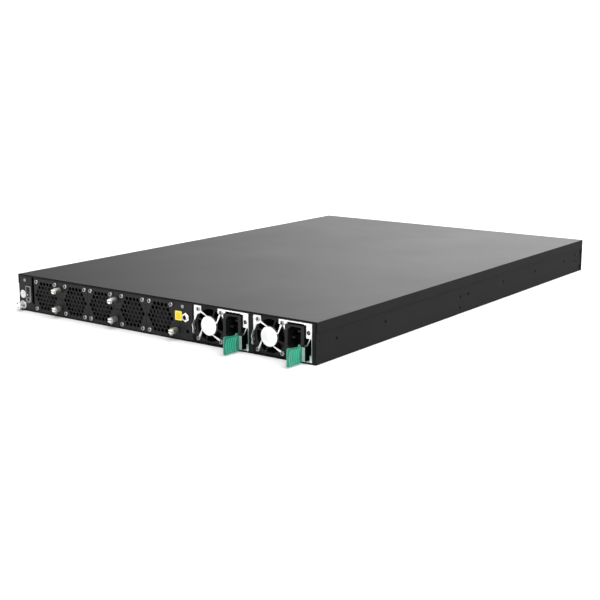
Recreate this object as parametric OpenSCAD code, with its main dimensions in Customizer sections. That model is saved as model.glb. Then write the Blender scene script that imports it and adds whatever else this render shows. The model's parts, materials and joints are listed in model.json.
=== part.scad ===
// One-unit rackmount network switch with five plug-in fan modules and two plug-in power supplies.
// Axes: +Z up, -Y is the port side, +Y is the side with the fans and supplies.
// The origin is the centre of the underside. Millimetres.

/* [Chassis] */
// Width over the cover's side flanges
body_w = 440; // [438:1:442]
// Depth from the port panel to the fan side
body_d = 648; // [620:1:700]
// Height over the cover
body_h = 43.6; // [43.2:0.1:44.4]
// Thickness of the base's sheet steel
sheet_t = 1.2; // [1:0.1:1.3]
// Thickness of the cover's sheet steel
cover_t = 1; // [0.8:0.1:1]
// Height of the cover's side flanges
flange_h = 11.4; // [8:0.1:14]

/* [Side holes] */
// Radius of the M4 rail screw holes before tapping
rail_hole_r = 1.65; // [1.4:0.05:2.2]
// Distance between rail screw holes
rail_pitch = 92.2; // [85:0.1:94]
// Distance from the fan side to the first rail screw hole
rail_start = 35; // [25:1:40]
// Height of the row of rail screw holes
rail_z = 21; // [16:1:24]

/* [Fan modules] */
// Side of a fan's square frame
fan_size = 40; // [39.5:0.1:40]
// Depth of a fan's frame
fan_d = 28; // [20:1:30]
// Distance between a fan's mounting screws
fan_hole_pitch = 32; // [31:0.5:33]
// Sideways position of the first fan's axis, seen from the fan side
fan_first = -171.4; // [-171.6:0.1:-171.2]
// Distance between the two fans of a pair
fan_pair_gap = 49.3; // [49.3:0.1:49.6]
// Distance from one pair of fans to the next
fan_pair_pitch = 91.3; // [91.3:0.1:91.5]
// Height of the fan axes
fan_z = 21.3; // [21.3:0.1:21.4]
// Distance between the centres of the grille's hexagonal holes
hex_pitch = 5.5; // [5:0.1:5.6]
// Width of a hexagonal hole across its flats
hex_flats = 4.4; // [3:0.1:4.5]
// Radius of a thumbscrew's knob
knob_r = 3.5; // [3.2:0.1:3.6]
// Length of a thumbscrew's knob
knob_l = 10.4; // [8:0.1:12]

/* [Power supplies] */
// Width of a power supply
psu_w = 73.5; // [73:0.1:73.8]
// Height of a power supply
psu_h = 39.4; // [39:0.1:39.5]
// Depth of a power supply's case
psu_d = 185; // [170:1:190]
// Sideways position of the first supply's near edge, seen from the fan side
psu_first = 60.1; // [60:0.1:60.2]
// Distance from one supply to the next
psu_pitch = 80; // [79.8:0.1:80.2]
// How far the release tab stands out of a supply
tab_l = 23; // [15:1:25]

/* [Ports] */
// Clear width of a transceiver port
port_w = 18.4; // [18:0.1:18.6]
// Clear height of a transceiver port
port_h = 8.6; // [8.4:0.1:8.8]
// Depth of a transceiver cage
port_d = 50; // [45:1:60]

/* [Hidden] */
$fn = 48;
fans = 5;
supplies = 2;
gap = 0.05; // between pieces that touch
seam = 0.5; // between panels
half_w = body_w / 2;
half_d = body_d / 2;

// Base and cover
wall_out = half_w - cover_t - 0.2; // outer face of the base's side walls
wall_in = wall_out - sheet_t;
wall_top = body_h - cover_t - 0.3;
front_t = 1.5;
front_d = body_d - front_t; // depth at which the port panel's back lies
deck = body_h - cover_t; // underside of the cover

// Fans
fan_half = fan_size / 2;
face_t = 1.2;
face_half_w = (fan_pair_pitch - fan_pair_gap - seam) / 2;
flange_out = fan_half + 0.4; // outer face of a fan module's side flanges
face_half_h = fan_half;
tab_shift = fan_pair_gap / 2; // from a fan's axis to its thumbscrew
tab_half = 4; // half width of the overlap between two faces
post_half = 3.4;
thumb_z = 10.75; // from a fan's axis to its thumbscrew
face_near = tab_shift - tab_half - seam / 2;
face_far = tab_shift + tab_half - seam / 2;
grille_r = 17.6; // how far the centres of the grille's holes reach
fan_bore_r = 18.7;
rotor_r = 18.1;
hub_r = 10.5;
blades = 7;
blade_slant = 38; // from the fan's axis
blade_chord = 24;
function fan_s(i) = fan_first + floor(i / 2) * fan_pair_pitch + (i % 2) * fan_pair_gap;
function fan_turn(i) = (i % 2) * 180;

// Panel round the timing connector
panel_t = 1.2;
panel_z0 = 1.5;
panel_z1 = 41.5;
timing_s0 = fan_s(fans - 1) + face_near + seam;
timing_s1 = fan_s(fans - 1) + face_far + seam;
timing_end = 57.4;
sma_s = 49.2;
sma_z = 26.1;
sma_hole_r = 3.3;
sma_reach = 3.4; // how far the antenna jack stands out
pin_hole_s = 50.4;
pin_hole_z = 10.6;

// Panel at the far edge, with the earth stud and the service plate
service_s0 = -217.3;
service_s1 = -196.5;
service_foot = fan_first - face_half_w - seam;
service_foot_z = 10;
stud_s = -211.6;
stud_z = 7.2;
stud_r = 2.45;
bezel_s = -202;
bezel_z = 20.4;
bezel_w = 8.2;
bezel_h = 20.2;
nut_l = 8.2;
button_z = 5; // above the bezel's centre
button_r = 2.3;
jack_z = -6; // below the bezel's centre
jack_r = 1.9;
cover_screw_z = 37.2;
cover_screws = [-207.3, 44.3];

// Power supplies
psu_z = 1.8;
psu_t = 0.8;
psu_face_t = 1;
psu_fan_s = 21.4;
psu_fan_half = 18.6;
psu_fan_z = psu_z + psu_h / 2;
psu_bore_r = 17.6;
psu_window = 42; // sideways end of the open part in front of its fan
psu_hub_r = 10.4;
guard_rise = 1.6; // how far the guard's hub stands out
case_start = 4.1; // depth at which a supply's case begins
psu_screw = 15.6; // half the distance between its fan's screws
inlet_s = 53.2;
inlet_z = 24;
inlet_w = 23.4;
inlet_h = 28;
led_s = 69.3;
led_z = 31.6;
led_r = 2.2;
tab_s = 62.2;
tab_t = 2.4;
tab_y = -2.8; // the release tab's foot, in front of the inlet's flange
tab_z0 = 1.3;
tab_z1 = 18.3;
grooves = 5;
spring_s = 66.6;
spring_t = 0.7;
spring_end = 33; // depth at which the release spring is riveted to the case
hinge_y = 28; // depth of the round bead that the release spring turns on
spring_z0 = 2.7;
spring_z1 = 17.2;
catch_y = 13;
spring_step = 9.2; // depth at which the release spring steps sideways

// Board
board_t = 1.6;
board_z = 6.2;
board_front = body_d - 8;
board_back = 232;

// Ports
bank_cols = 4;
banks = [162, 80, -2];
port_pitch = port_w + 0.6;
bank_w = bank_cols * port_pitch + 0.6;
cage_t = 0.5;
port_low = 9;
port_split = 4;
port_high = port_low + port_h + port_split;
cage_front = front_d + 0.6;
rj45_x = -172;
rj45_w = 16.4;
rj45_z = 7.9;
rj45_h = 27;
usb_x = -152;
usb_z = 12;
usb_w = 13.2;
usb_h = 5.8;

// ---------- Helpers ----------

// Turns a frame whose x runs to the right seen from the fan side, and whose y is depth
// inwards from that side, into the part's own frame.
module from_rear() {
    translate([0, half_d, 0]) rotate([0, 0, 180]) children();
}

// A flat shape of width and height, standing up, with its thickness going inwards.
module slab(t) {
    translate([0, t, 0]) rotate([90, 0, 0]) linear_extrude(t) children();
}

// A rod along the depth.
module rod(r, l) {
    rotate([-90, 0, 0]) cylinder(r = r, h = l);
}

module ring(r_out, r_in, l) {
    difference() {
        rod(r_out, l);
        translate([0, -1, 0]) rod(r_in, l + 2);
    }
}

module box(from, to) {
    translate(from) cube(to - from);
}

// A flat rectangle with round corners of radius r.
module rounded(w, h, r) {
    square([w - 2 * r, h], center = true);
    square([w, h - 2 * r], center = true);
    for (x = [-1, 1], y = [-1, 1]) translate([x * (w / 2 - r), y * (h / 2 - r)]) circle(r);
}

// A hexagonal hole with a corner at the top.
module hexagon(flats) {
    rotate(30) circle(r = flats / sqrt(3), $fn = 6);
}

// Hexagonal holes in a w by h field whose centres keep inside it.
module honeycomb(w, h, limit_r) {
    row = hex_pitch * sqrt(3) / 2;
    rows = floor(h / 2 / row);
    cols = ceil(w / 2 / hex_pitch);
    for (j = [-rows:rows], i = [-cols:cols]) {
        x = i * hex_pitch + (abs(j) % 2) * hex_pitch / 2;
        z = j * row;
        if (abs(x) <= w / 2 && norm([x, z]) <= limit_r) translate([x, z]) hexagon(hex_flats);
    }
}

// A pan-head screw with a hexagon socket. Its head faces the viewer, just off the panel.
module pan_screw(head_r, head_h, shank_r, shank_l) {
    translate([0, -gap, 0]) difference() {
        union() {
            translate([0, -head_h, 0]) rod(head_r, head_h);
            translate([0, -0.1, 0]) rod(shank_r, shank_l);
        }
        translate([0, -head_h - 1, 0]) rotate([-90, 0, 0])
            cylinder(r = head_r * 0.48, h = 1 + head_h * 0.7, $fn = 6);
    }
}

// ---------- Chassis ----------

// Hole positions along a side wall, as depth from the fan side and height.
function side_holes() = concat(
    [for (k = [0, 1, 3, 4, 5, 6]) [rail_start + k * rail_pitch, rail_z]],
    [[body_d - 23, 25.3], [body_d - 23, 16.1], [292, 20.6], [292, 7.2]]
);

// Tray with side walls, a rivet pair near each wall's end and round posts for the board.
module chassis_base() {
    color([0.035, 0.035, 0.037]) from_rear() difference() {
        union() {
            box([-wall_out, 0, 0], [wall_out, front_d - gap, sheet_t]);
            for (side = [-1, 1]) scale([side, 1, 1])
                box([wall_in, 0, 0], [wall_out, front_d - gap, wall_top]);
            for (side = [-1, 1], z = [7.4, 24.2])
                translate([side * (wall_out - 0.1), 5.4, z]) rotate([0, side * 90, 0])
                    cylinder(r1 = 1.3, r2 = 0.9, h = 0.5);
            for (s = [-190, -60, 60, 190], d = [board_back + 20, 440, board_front - 20])
                translate([s, d, sheet_t - 0.1]) cylinder(r = 3, h = board_z - sheet_t + 0.1 - gap);
        }
        for (side = [-1, 1], p = side_holes())
            translate([side * (wall_in - 1), p[0], p[1]]) rotate([0, side * 90, 0])
                cylinder(r = rail_hole_r, h = sheet_t + 2);
        for (side = [-1, 1], z = [3, 23.5])
            translate([side * (wall_in + sheet_t / 2) - sheet_t, front_d - 5, z])
                cube([2 * sheet_t, 6, 5]);
    }
}

module top_cover() {
    color([0.035, 0.035, 0.037]) from_rear() difference() {
        box([-half_w, 0, body_h - flange_h], [half_w, front_d - gap, body_h]);
        box([-half_w + cover_t, -1, 0], [half_w - cover_t, body_d, body_h - cover_t]);
    }
}

module front_panel() {
    color([0.035, 0.035, 0.037]) translate([0, -half_d, 0]) slab(front_t) difference() {
        translate([-half_w, 0]) square([body_w, body_h]);
        for (x = banks) translate([x - bank_w / 2 - 0.2, port_low - cage_t - 0.2])
            square([bank_w + 0.4, 2 * port_h + port_split + 2 * cage_t + 0.4]);
        translate([rj45_x - rj45_w / 2 - 0.2, rj45_z - 0.2]) square([rj45_w + 0.4, rj45_h + 0.4]);
        translate([usb_x - usb_w / 2 - 0.2, usb_z - usb_h / 2 - 0.2])
            square([usb_w + 0.4, usb_h + 0.4]);
        translate([-95, body_h / 2]) honeycomb(76, 32, 60);
        for (k = [0:23], z = [3.4, 37.2]) translate([-40 + k * 10.2, z]) square([7.6, 2.8]);
        for (k = [0:3], z = [14, 20, 26]) translate([-208 + k * 5, z]) circle(r = 1, $fn = 24);
        translate([usb_x, 26]) circle(r = 0.9, $fn = 24);
        for (x = [-214, 214], z = [6, 37.5]) translate([x, z]) circle(1.35);
    }
}

// The posts that the fan thumbscrews fasten to hang from one strip under the cover.
module rear_frame() {
    posts = [for (i = [0, 2, 4]) fan_s(i) + tab_shift];
    color([0.04, 0.04, 0.042]) from_rear() difference() {
        union() {
            box([-wall_in + 0.2, 0, 41.7], [wall_in - 0.2, 14, deck - 0.1]);
            for (s = posts) difference() {
                box([s - post_half, face_t + 0.2, sheet_t + gap], [s + post_half, 14, 41.8]);
                box([s - post_half + 1, face_t + 2.4, 0], [s + post_half - 1, 15, 41.6]);
            }
            box([-194.9, 3, sheet_t + gap], [-193.9, 14, 41.8]);
        }
        for (s = posts, z = [-thumb_z, thumb_z]) translate([s, 0, fan_z + z]) rod(1.6, 20);
    }
}

// Two bays for the power supplies: three walls under one plate.
module psu_cage() {
    left = psu_first - 0.5;
    bay = psu_first + psu_w + 0.4;
    next = psu_first + psu_pitch - 0.4;
    last = psu_first + psu_pitch + psu_w + 0.4;
    color([0.045, 0.045, 0.048]) from_rear() {
        box([left - 1.2, 14.2, 41.45], [wall_in - 0.2, psu_d + 3, 42.25]);
        box([left - 1.2, 0, sheet_t + gap], [left, psu_d + 3, 41.5]);
        for (wall = [[bay, next], [last, wall_in - 0.2]]) difference() {
            box([wall[0], 0, sheet_t + gap], [wall[1], psu_d + 3, 41.5]);
            box([wall[0] + 1, 1.2, 0], [wall[1] - 1, psu_d + 4, 41.3]);
            box([wall[0] - 1, catch_y - 2, 5], [wall[0] + 2, catch_y + 8, 14]);
        }
    }
}

module service_panel() {
    color([0.04, 0.04, 0.042]) from_rear() slab(panel_t) difference() {
        union() {
            translate([service_s0, panel_z0])
                square([service_s1 - service_s0, panel_z1 - panel_z0]);
            translate([service_s0, panel_z0])
                square([service_foot - service_s0, service_foot_z - panel_z0]);
        }
        translate([stud_s, stud_z]) circle(stud_r + 0.15);
        translate([cover_screws[0], cover_screw_z]) circle(1.35);
        translate([bezel_s, bezel_z]) rounded(bezel_w - 2, bezel_h - 2, 1.4);
    }
}

// Its low corner is cut out for the last fan module's thumbscrew.
module timing_panel() {
    color([0.04, 0.04, 0.042]) from_rear() slab(panel_t) difference() {
        union() {
            translate([timing_s0, fan_z]) square([timing_end - timing_s0, panel_z1 - fan_z]);
            translate([timing_s1, panel_z0]) square([timing_end - timing_s1, fan_z - panel_z0 + 1]);
        }
        translate([sma_s, sma_z]) circle(sma_hole_r);
        translate([cover_screws[1], cover_screw_z]) circle(1.35);
        translate([pin_hole_s, pin_hole_z]) circle(2.1);
    }
}

// Screws through the two end panels and the port panel's screws.
module panel_screws() {
    color([0.62, 0.63, 0.65]) {
        from_rear() for (s = cover_screws)
            translate([s, 0, cover_screw_z]) pan_screw(1.9, 0.9, 1.25, 6);
        for (x = [-214, 214], z = [6, 37.5])
            translate([x, -half_d, z]) pan_screw(2.4, 1.2, 1.2, front_t - gap);
    }
}

// ---------- Inside ----------

module main_board() {
    z = board_z + board_t;
    color([0.03, 0.16, 0.09]) from_rear() union() {
        box([-212, board_back, board_z], [212, board_front, z]);
        box([62, 200, board_z], [212, board_back + 1, z]);
        for (s = [0:supplies - 1])
            difference() {
                box([psu_first + s * psu_pitch + 9, 189, 3.2],
                    [psu_first + s * psu_pitch + 61, 206, 14]);
                box([psu_first + s * psu_pitch + 10, 188, 5.6],
                    [psu_first + s * psu_pitch + 60, 198, 9.2]);
            }
        box([-30, 385, z - 0.1], [30, 445, z + 3]);
        box([-150, 330, z - 0.1], [-118, 362, z + 3]);
        for (k = [0:7]) box([-100 + k * 26, 300, z - 0.1], [-88 + k * 26, 312, z + 6]);
        for (k = [0:5]) translate([90 + k * 18, 250, z - 0.1]) cylinder(r = 5, h = 14.1);
        for (k = [0:3]) box([-205, 300 + k * 9, z - 0.1], [-165, 304 + k * 9, z + 26]);
    }
}

// A finned block: fins along the depth on one base.
module heatsink(w, d, h, fins) {
    cube([w, d, 4]);
    for (k = [0:fins - 1]) translate([k * (w - 1) / (fins - 1), 0, 3.9]) cube([1, d, h - 3.9]);
}

module heatsinks() {
    z = board_z + board_t + 3 + gap;
    color([0.72, 0.73, 0.75]) from_rear() {
        translate([-62, 355, z]) heatsink(124, 120, 26, 32);
        translate([-160, 318, z]) heatsink(52, 56, 20, 14);
    }
}

// The six walls of a stacked cage are separate pressings, set a hair apart.
module cage_bank(x) {
    top = port_high + port_h;
    left = x - bank_w / 2;
    translate([left, 0, 0]) {
        box([0, 0, port_low - cage_t], [bank_w, port_d, port_low - gap]);
        box([0, 0, top + gap], [bank_w, port_d, top + cage_t]);
        box([0.6 + gap, 0, port_low + port_h + gap], [bank_w - 0.6 - gap, port_d, port_high - gap]);
        for (side = [0, 1]) translate([side * (bank_w - 0.6), 0, port_low])
            cube([0.6, port_d, top - port_low]);
        for (k = [1:bank_cols - 1], z = [port_low, port_high])
            translate([k * port_pitch, 0, z]) cube([0.6, port_d, port_h]);
    }
}

module port_cages() {
    color([0.66, 0.67, 0.68]) translate([0, -half_d - 0.6, 0])
        for (x = banks) cage_bank(x);
}

// The socket at the back of each transceiver port, with its card slot.
module port_connectors() {
    color([0.05, 0.05, 0.055]) translate([0, -half_d - 0.6 + port_d - 9, 0])
        for (x = banks, k = [0:bank_cols - 1], z = [port_low, port_high])
            translate([x - bank_w / 2 + 0.6 + k * port_pitch + 0.9, 0, z + 0.7]) difference() {
                cube([port_w - 1.8, 8.8, port_h - 1.4]);
                translate([1.5, -1, 2.9]) cube([port_w - 4.8, 7, 1.3]);
            }
}

module management_ports() {
    color([0.6, 0.61, 0.63]) translate([0, -half_d - 0.4, 0]) {
        difference() {
            box([rj45_x - rj45_w / 2, 0, rj45_z], [rj45_x + rj45_w / 2, 22, rj45_z + rj45_h]);
            for (z = [rj45_z + 3, rj45_z + 15]) {
                box([rj45_x - 6, -1, z], [rj45_x + 6, 17, z + 8.4]);
                box([rj45_x - 3, -1, z + 8.3], [rj45_x + 3, 12, z + 10]);
            }
        }
        difference() {
            box([usb_x - usb_w / 2, 0, usb_z - usb_h / 2], [usb_x + usb_w / 2, 14, usb_z + usb_h / 2]);
            box([usb_x - usb_w / 2 + 0.5, -1, usb_z - usb_h / 2 + 0.5],
                [usb_x + usb_w / 2 - 0.5, 12, usb_z + usb_h / 2 - 0.5]);
        }
        box([usb_x - 5.6, 1, usb_z + 0.3], [usb_x + 5.6, 12.5, usb_z + 2.1]);
    }
}

module fan_board() {
    color([0.03, 0.16, 0.09]) from_rear() {
        box([-192, 46, 2.4], [36, 46 + board_t, 17]);
        for (i = [0:fans - 1]) difference() {
            box([fan_s(i) - 6, 40.6, 4], [fan_s(i) + 6, 46.1, 12]);
            box([fan_s(i) - 5, 39, 5], [fan_s(i) + 5, 45, 11]);
        }
    }
}

// ---------- Small fittings ----------

// Square at the top and round at the foot.
module bezel_outline(w, h, r) {
    rounded(w, h, r);
    translate([-w / 2, 0]) square([w, h / 2]);
}

module service_bezel() {
    color([0.42, 0.43, 0.44]) from_rear() translate([bezel_s, -0.9, bezel_z]) difference() {
        union() {
            slab(0.9 - gap) bezel_outline(bezel_w, bezel_h, 3.4);
            slab(3.2) rounded(bezel_w - 2.2, bezel_h - 2.2, 1.3);
        }
        translate([0, -1, button_z]) rod(button_r + 0.15, 6);
        translate([0, -1, jack_z]) rod(jack_r, 4);
        translate([-1.2, -1, -0.6]) rod(0.8, 6);
    }
}

module service_button() {
    color([0.05, 0.05, 0.052]) from_rear() translate([bezel_s, -1.9, bezel_z + button_z]) {
        rod(button_r, 6);
        translate([0, 4.6, 0]) rod(button_r + 0.35, 1);
    }
}

// Earth stud with its washer and clinch head behind the panel.
module ground_stud() {
    reach = nut_l + 2.4;
    color([0.75, 0.75, 0.73]) from_rear() translate([stud_s, 0, stud_z]) {
        translate([0, -reach, 0]) rod(stud_r, reach + panel_t + gap);
        translate([0, panel_t + gap, 0]) rod(4, 2);
        translate([0, -1.1, 0]) ring(5.3, stud_r - 0.2, 1.1 - gap);
    }
}

module ground_nut() {
    color([0.8, 0.8, 0.78]) from_rear() translate([stud_s, -nut_l - 1.2, stud_z])
        ring(4, stud_r + 0.08, nut_l);
}

module sma_jack() {
    color([0.8, 0.79, 0.75]) from_rear() translate([sma_s, 0, sma_z]) difference() {
        union() {
            translate([0, -sma_reach, 0]) rod(sma_hole_r - 0.15, 15);
            translate([0, -2.2, 0]) rotate([-90, 0, 0]) rotate(30)
                cylinder(r = 5.2, h = 2.2 - gap, $fn = 6);
            translate([0, panel_t + gap, 0]) rod(5, 2);
        }
        translate([0, -sma_reach - 1, 0]) rod(1.9, 6);
    }
}

// ---------- Fan modules ----------

// Puts one fan module's pieces in place: x and z run from the fan's axis.
module at_fan(i) {
    from_rear() translate([fan_s(i), 0, fan_z]) rotate([0, fan_turn(i), 0]) children();
}

module fan_face(i) {
    color([0.045, 0.045, 0.047]) at_fan(i) {
        slab(face_t) difference() {
            polygon([
                [-face_half_w, -face_half_h], [face_far, -face_half_h], [face_far, -seam / 2],
                [face_near, -seam / 2], [face_near, face_half_h], [-face_half_w, face_half_h]
            ]);
            honeycomb(fan_size - 6, fan_size - 10, grille_r);
            for (x = [-1, 1], z = [-1, 1])
                translate([x, z] * fan_hole_pitch / 2) circle(1.6);
            translate([tab_shift, -thumb_z]) circle(1.75);
        }
        for (x = [-1, 1]) scale([x, 1, 1])
            box([fan_half + gap, face_t - 0.1, -fan_half + 1], [flange_out, 30, fan_half - 1]);
        translate([tab_shift, -1.2, -thumb_z]) ring(3, 1.75, 1.3);
    }
}

// A square fan frame with a round duct, a motor base on four struts and a bearing tube.
module fan_body(half, bore, hub, d, hole) {
    difference() {
        union() {
            for (y = [0, d - 3.6]) translate([0, y, 0]) slab(3.6) rounded(2 * half, 2 * half, 2.5);
            intersection() {
                rod(half, d);
                box([-half, 0, -half], [half, d, half]);
            }
        }
        translate([0, -1, 0]) rod(bore, d + 2);
        for (x = [-1, 1], z = [-1, 1]) translate([x * hole, -1, z * hole]) rod(1.65, d + 2);
    }
    difference() {
        union() {
            rod(hub, 2.4);
            rod(2.6, 15);
            for (a = [0:3]) rotate([0, 20 + a * 90, 0])
                box([hub - 1, 0, -0.9], [bore + 0.3, 2.2, 0.9]);
        }
        translate([0, 1, 0]) rod(1.05, 20);
    }
}

module fan_frame(i) {
    color([0.025, 0.025, 0.027]) at_fan(i) {
        translate([0, face_t + 0.1, 0]) fan_body(fan_half, fan_bore_r, hub_r, fan_d,
                                                 fan_hole_pitch / 2);
        rotate([0, fan_turn(i), 0]) {
            box([-8, face_t + fan_d, -18], [8, 34, -11.4]);
            box([-4.6, 33.9, -16], [4.6, 44, -10.8]);
        }
    }
}

// A cup-shaped hub on a shaft, with slanting blades that keep clear of the duct.
module rotor(tip_r, cup_r, d) {
    difference() {
        union() {
            translate([0, 3.2, 0]) rod(cup_r, d - 4.4);
            intersection() {
                translate([0, 4, 0]) rod(tip_r, d - 7);
                for (k = [0:blades - 1]) rotate([0, k * 360 / blades, 0])
                    translate([cup_r - 3, d / 2 + 0.5, 0]) rotate([blade_slant, 0, 0])
                        translate([0, -blade_chord / 2, -0.5])
                            cube([tip_r, blade_chord, 1]);
            }
        }
        translate([0, 3, 0]) rod(cup_r - 1.4, d - 6.2);
    }
    translate([0, 2.6, 0]) rod(1, d - 5);
}

module fan_rotor(i) {
    color([0.03, 0.03, 0.032]) at_fan(i) translate([0, face_t + 0.1, 0]) rotor(rotor_r, hub_r, fan_d);
}

module fan_screws(i) {
    color([0.6, 0.6, 0.61]) at_fan(i) for (x = [-1, 1], z = [-1, 1])
        translate([x * fan_hole_pitch / 2, 0, z * fan_hole_pitch / 2]) pan_screw(2.6, 1.3, 1.35, 9);
}

module fan_thumbscrew(i) {
    color([0.78, 0.78, 0.76]) at_fan(i) translate([tab_shift, -1.3, -thumb_z]) difference() {
        union() {
            translate([0, -knob_l, 0]) rod(knob_r, knob_l);
            translate([0, -0.1, 0]) rod(1.45, 8.5);
        }
        translate([-knob_r - 1, -knob_l - 1, -0.5]) cube([2 * knob_r + 2, 2.2, 1]);
    }
}

// ---------- Power supplies ----------

// Puts one supply's pieces in place: x runs from its near edge and z from the underside.
module at_psu(i) {
    from_rear() translate([psu_first + i * psu_pitch, 0, 0]) children();
}

// A tray and a lid, which close round the supply.
module psu_case(i) {
    top = psu_z + psu_h;
    color([0.6, 0.61, 0.62]) at_psu(i) {
        difference() {
            box([0, case_start, psu_z], [psu_w, psu_d, top - psu_t - gap]);
            box([psu_t, -1, psu_z + psu_t], [psu_w - psu_t, psu_d - psu_t, top + 1]);
            box([8, psu_d - 2, 4.4], [62, psu_d + 1, 10.4]);
            for (k = [0:6]) box([9 + k * 8, psu_d - 2, 14], [14 + k * 8, psu_d + 1, 34]);
            box([psu_w - 2, catch_y - 1.5, 5], [psu_w + 1, catch_y + 7.5, 14]);
        }
        box([0, case_start, top - psu_t], [psu_w, psu_d, top]);
    }
}

// Flat arm that leaves the guard's hub to one side of a corner screw and widens towards it.
module guard_arm(a) {
    root = (psu_hub_r - 0.5) * [cos(a - 26), sin(a - 26)];
    tip = (psu_screw * sqrt(2) - 1.5) * [cos(a), sin(a)];
    side = [root[1] - tip[1], tip[0] - root[0]] / norm(tip - root);
    polygon([root + side * 0.5, root - side * 0.5, tip - side * 1.2, tip + side * 1.2]);
}

// Openings round the release spring and beside the inlet, with a slanting web between them.
module spring_slots() {
    polygon([
        [65.1, spring_z0 - 0.4], [70.7, spring_z0 - 0.4], [70.7, 8.9], [72.9, 8.9],
        [72.9, 25.8], [71.6, 25.8], [67.4, spring_z1 + 0.4], [65.1, spring_z1 + 0.4]
    ]);
    polygon([[63, 18.3], [66.8, 18.3], [70.6, 25.8], [66.6, 25.8], [66.6, 39], [63, 39]]);
}

// Corner pads for the fan's screws, and the guard's four arms.
module fan_guard() {
    top = psu_z + psu_h;
    translate([0, top - 7.4]) square([9.8, 7.4]);
    polygon([[0, 24.5], [0.8, 24.5], [2.3, 27.5], [4.2, 31.5], [9.8, top - 7], [0, top - 7]]);
    translate([32.6, top - 5.3]) square([psu_window - 32, 5.3]);
    polygon([[36.8, top - 5], [psu_window, top - 5], [psu_window, 30.5], [40.4, 30.5]]);
    translate([psu_fan_s, psu_fan_z]) {
        circle(psu_hub_r);
        for (a = [45:90:315]) guard_arm(a);
        for (x = [-1, 1]) translate([x, -1] * psu_screw) circle(2.4);
    }
}

// Sheet with a rim on the inlet's half. The fan's half is open apart from the fan guard.
module psu_face(i) {
    top = psu_z + psu_h;
    color([0.8, 0.8, 0.8]) at_psu(i) {
        slab(psu_face_t) difference() {
            union() {
                difference() {
                    translate([psu_window, psu_z]) square([psu_w - psu_window, psu_h]);
                    translate([inlet_s - 10.1, inlet_z - 13.2]) square([20.2, 28.9]);
                    spring_slots();
                    translate([led_s, led_z]) circle(led_r);
                    for (j = [0:1], k = [0:8])
                        translate([43.6 + k * 2.3 + j * 1.15, 4.2 + j * 2.2])
                            circle(r = 0.85, $fn = 24);
                }
                fan_guard();
            }
            for (x = [-1, 1], z = [-1, 1])
                translate([psu_fan_s + x * psu_screw, psu_fan_z + z * psu_screw]) circle(1.35);
        }
        translate([psu_fan_s, -guard_rise, psu_fan_z]) rod(psu_hub_r, guard_rise + 0.1);
        difference() {
            box([psu_window, psu_face_t - 0.1, psu_z], [psu_w, case_start - gap, top]);
            box([psu_window - 1, 0, psu_z + psu_t], [psu_w - psu_t, case_start + 1, top - psu_t]);
        }
    }
}

module psu_screws(i) {
    color([0.6, 0.6, 0.61]) at_psu(i) for (x = [-1, 1], z = [-1, 1])
        translate([psu_fan_s + x * psu_screw, 0, psu_fan_z + z * psu_screw])
            pan_screw(2.4, 1.1, 1.2, 9);
}

// Outline of the inlet's mouth: two corners are cut off on its earth side.
module inlet_mouth() {
    polygon([[-8.2, -8], [-4.2, -12], [8.2, -12], [8.2, 12], [-4.2, 12], [-8.2, 8]]);
}

module psu_inlet(i) {
    color([0.03, 0.03, 0.032]) at_psu(i) translate([inlet_s, 0, inlet_z]) {
        difference() {
            union() {
                translate([0, -2, 0]) slab(2 - gap) rounded(inlet_w, inlet_h, 2);
                translate([-10, -1, -13]) cube([20, 22, 26]);
            }
            translate([0, -3, 0]) slab(18.5) inlet_mouth();
        }
        for (z = [-7, 7]) translate([1.2, 2.5, z - 1]) cube([4, 26, 2]);
        translate([-6.2, 2.5, -1]) cube([4, 26, 2]);
    }
}

// The fan's frame has a front plate that fills the open half of the supply's face.
module psu_fan_frame(i) {
    color([0.025, 0.025, 0.027]) at_psu(i) {
        translate([psu_fan_s, psu_face_t + 0.1, psu_fan_z])
            fan_body(psu_fan_half, psu_bore_r, psu_hub_r, fan_d, psu_screw);
        translate([0, psu_face_t + 0.1, 0]) slab(2.8) difference() {
            translate([0.1, psu_z + 0.1]) square([psu_window - 0.2, psu_h - 0.2]);
            translate([psu_fan_s, psu_fan_z]) circle(psu_bore_r);
            for (x = [-1, 1], z = [-1, 1])
                translate([psu_fan_s + x * psu_screw, psu_fan_z + z * psu_screw]) circle(1.65);
        }
    }
}

module psu_rotor(i) {
    color([0.03, 0.03, 0.032]) at_psu(i) translate([psu_fan_s, psu_face_t + 0.1, psu_fan_z])
        rotor(psu_bore_r - 0.6, psu_hub_r, fan_d);
}

// Circuit board whose edge plugs into the chassis, with its parts.
module psu_board(i) {
    z = 6.4 + board_t;
    color([0.03, 0.16, 0.09]) at_psu(i) union() {
        box([3, 34, 6.4], [70, 183, z]);
        box([11, 182, 6.4], [59, 195, z]);
        box([10, 70, z - 0.1], [44, 100, z + 28]);
        box([12, 112, z - 0.1], [42, 136, z + 24]);
        for (d = [44, 62]) translate([60, d, z - 0.1]) cylinder(r = 8, h = 28);
        for (s = [6, 48]) box([s, 106, z - 0.1], [s + 2, 172, z + 26]);
        for (k = [0:2]) translate([56, 118 + k * 16, z - 0.1]) cylinder(r = 5, h = 20);
        box([14, 146, z - 0.1], [40, 170, z + 12]);
    }
}

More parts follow.
